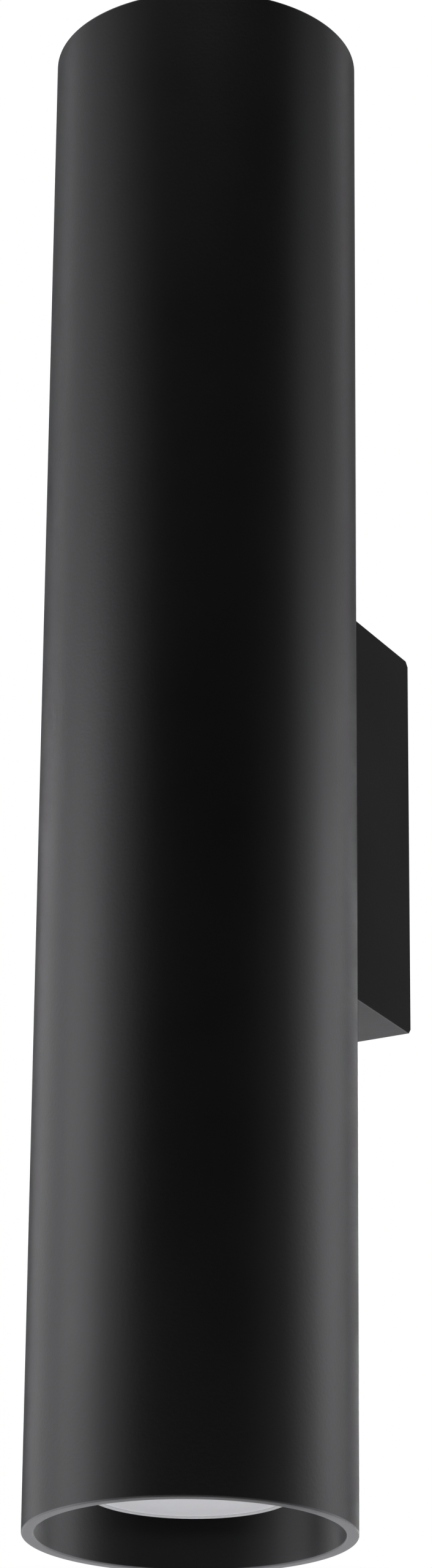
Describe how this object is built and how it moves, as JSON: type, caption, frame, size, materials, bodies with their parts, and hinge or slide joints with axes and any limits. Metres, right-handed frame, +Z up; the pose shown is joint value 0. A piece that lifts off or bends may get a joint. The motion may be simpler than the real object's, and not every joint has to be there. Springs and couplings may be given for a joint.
{
  "type": "tube wall light",
  "caption": "Round tube wall light that shines up and down, held off the wall by a narrow box, with a twist-lock reflector lamp just inside each open end.",
  "frame": {"origin": "on the wall plane, at the middle of the wall bracket's back face", "axes": "+Z up along the tube, +Y into the wall, -Y out into the room, +X to the viewer's right"},
  "size_m": [0.08, 0.12, 0.4],
  "materials": {
    "tube_coat": "black satin powder coat",
    "box_coat": "satin powder coat",
    "carrier_coat": "matt black coat",
    "bracket_zinc": "zinc plated",
    "black_screws": "black oxide",
    "zinc_fasteners": "bright zinc plated",
    "bush_rubber": "matt",
    "terminal_plastic": "moulded polyamide",
    "clamp_brass": "turned",
    "terminal_steel": "zinc plated",
    "lug_tin": "tin plated copper",
    "live_sleeve": "brown insulation",
    "neutral_sleeve": "blue insulation",
    "earth_sleeve": "green and yellow insulation",
    "holder_ceramic": "unglazed steatite",
    "contact_bronze": "spring bronze",
    "lamp_plastic": "satin moulded",
    "lamp_diffuser": "frosted",
    "led_board_mask": "white solder mask on aluminium",
    "led_phosphor": "phosphor gel",
    "driver_laminate": "green solder mask",
    "pin_nickel": "nickel plated"
  },
  "bodies": {
    "fixture": {"bracket_earth_wire": "earth_sleeve", "cable_bush": "bush_rubber", "carrier_weld_nuts": "zinc_fasteners", "earth_lugs": "lug_tin", "earth_screw": "zinc_fasteners", "fixing_screws": "zinc_fasteners", "fixing_washers": "zinc_fasteners", "lamp_carrier": "carrier_coat", "locking_screws": "black_screws", "lower_lampholder_body": "holder_ceramic", "lower_lampholder_contacts": "contact_bronze", "lower_lampholder_cover": "holder_ceramic", "lower_lampholder_screws": "zinc_fasteners", "lower_live_wire": "live_sleeve", "lower_neutral_wire": "neutral_sleeve", "terminal_block": "terminal_plastic", "terminal_block_screw": "zinc_fasteners", "terminal_clamps": "clamp_brass", "terminal_screws": "terminal_steel", "tube": "tube_coat", "tube_earth_wire": "earth_sleeve", "upper_lampholder_body": "holder_ceramic", "upper_lampholder_contacts": "contact_bronze", "upper_lampholder_cover": "holder_ceramic", "upper_lampholder_screws": "zinc_fasteners", "upper_live_wire": "live_sleeve", "upper_neutral_wire": "neutral_sleeve", "wall_box": "box_coat", "wall_bracket": "bracket_zinc", "wire_bush": "bush_rubber"},
    "upper_lamp": {"upper_lamp_housing": "lamp_plastic", "upper_lamp_lens": "lamp_diffuser", "upper_lamp_led_board": "led_board_mask", "upper_lamp_led_chips": "led_phosphor", "upper_lamp_driver_board": "driver_laminate", "upper_lamp_base": "lamp_plastic", "upper_lamp_pins": "pin_nickel"},
    "lower_lamp": {"lower_lamp_housing": "lamp_plastic", "lower_lamp_lens": "lamp_diffuser", "lower_lamp_led_board": "led_board_mask", "lower_lamp_led_chips": "led_phosphor", "lower_lamp_driver_board": "driver_laminate", "lower_lamp_base": "lamp_plastic", "lower_lamp_pins": "pin_nickel"}
  },
  "joints": [
    {"name": "upper_lamp_twist", "type": "hinge", "parent": "fixture", "child": "upper_lamp", "pos_m": [0, -0.08, 0.19], "axis": [0, 0, 1], "range_deg": [0, 30]},
    {"name": "lower_lamp_twist", "type": "hinge", "parent": "fixture", "child": "lower_lamp", "pos_m": [0, -0.08, -0.19], "axis": [0, 0, -1], "range_deg": [0, 30]}
  ]
}
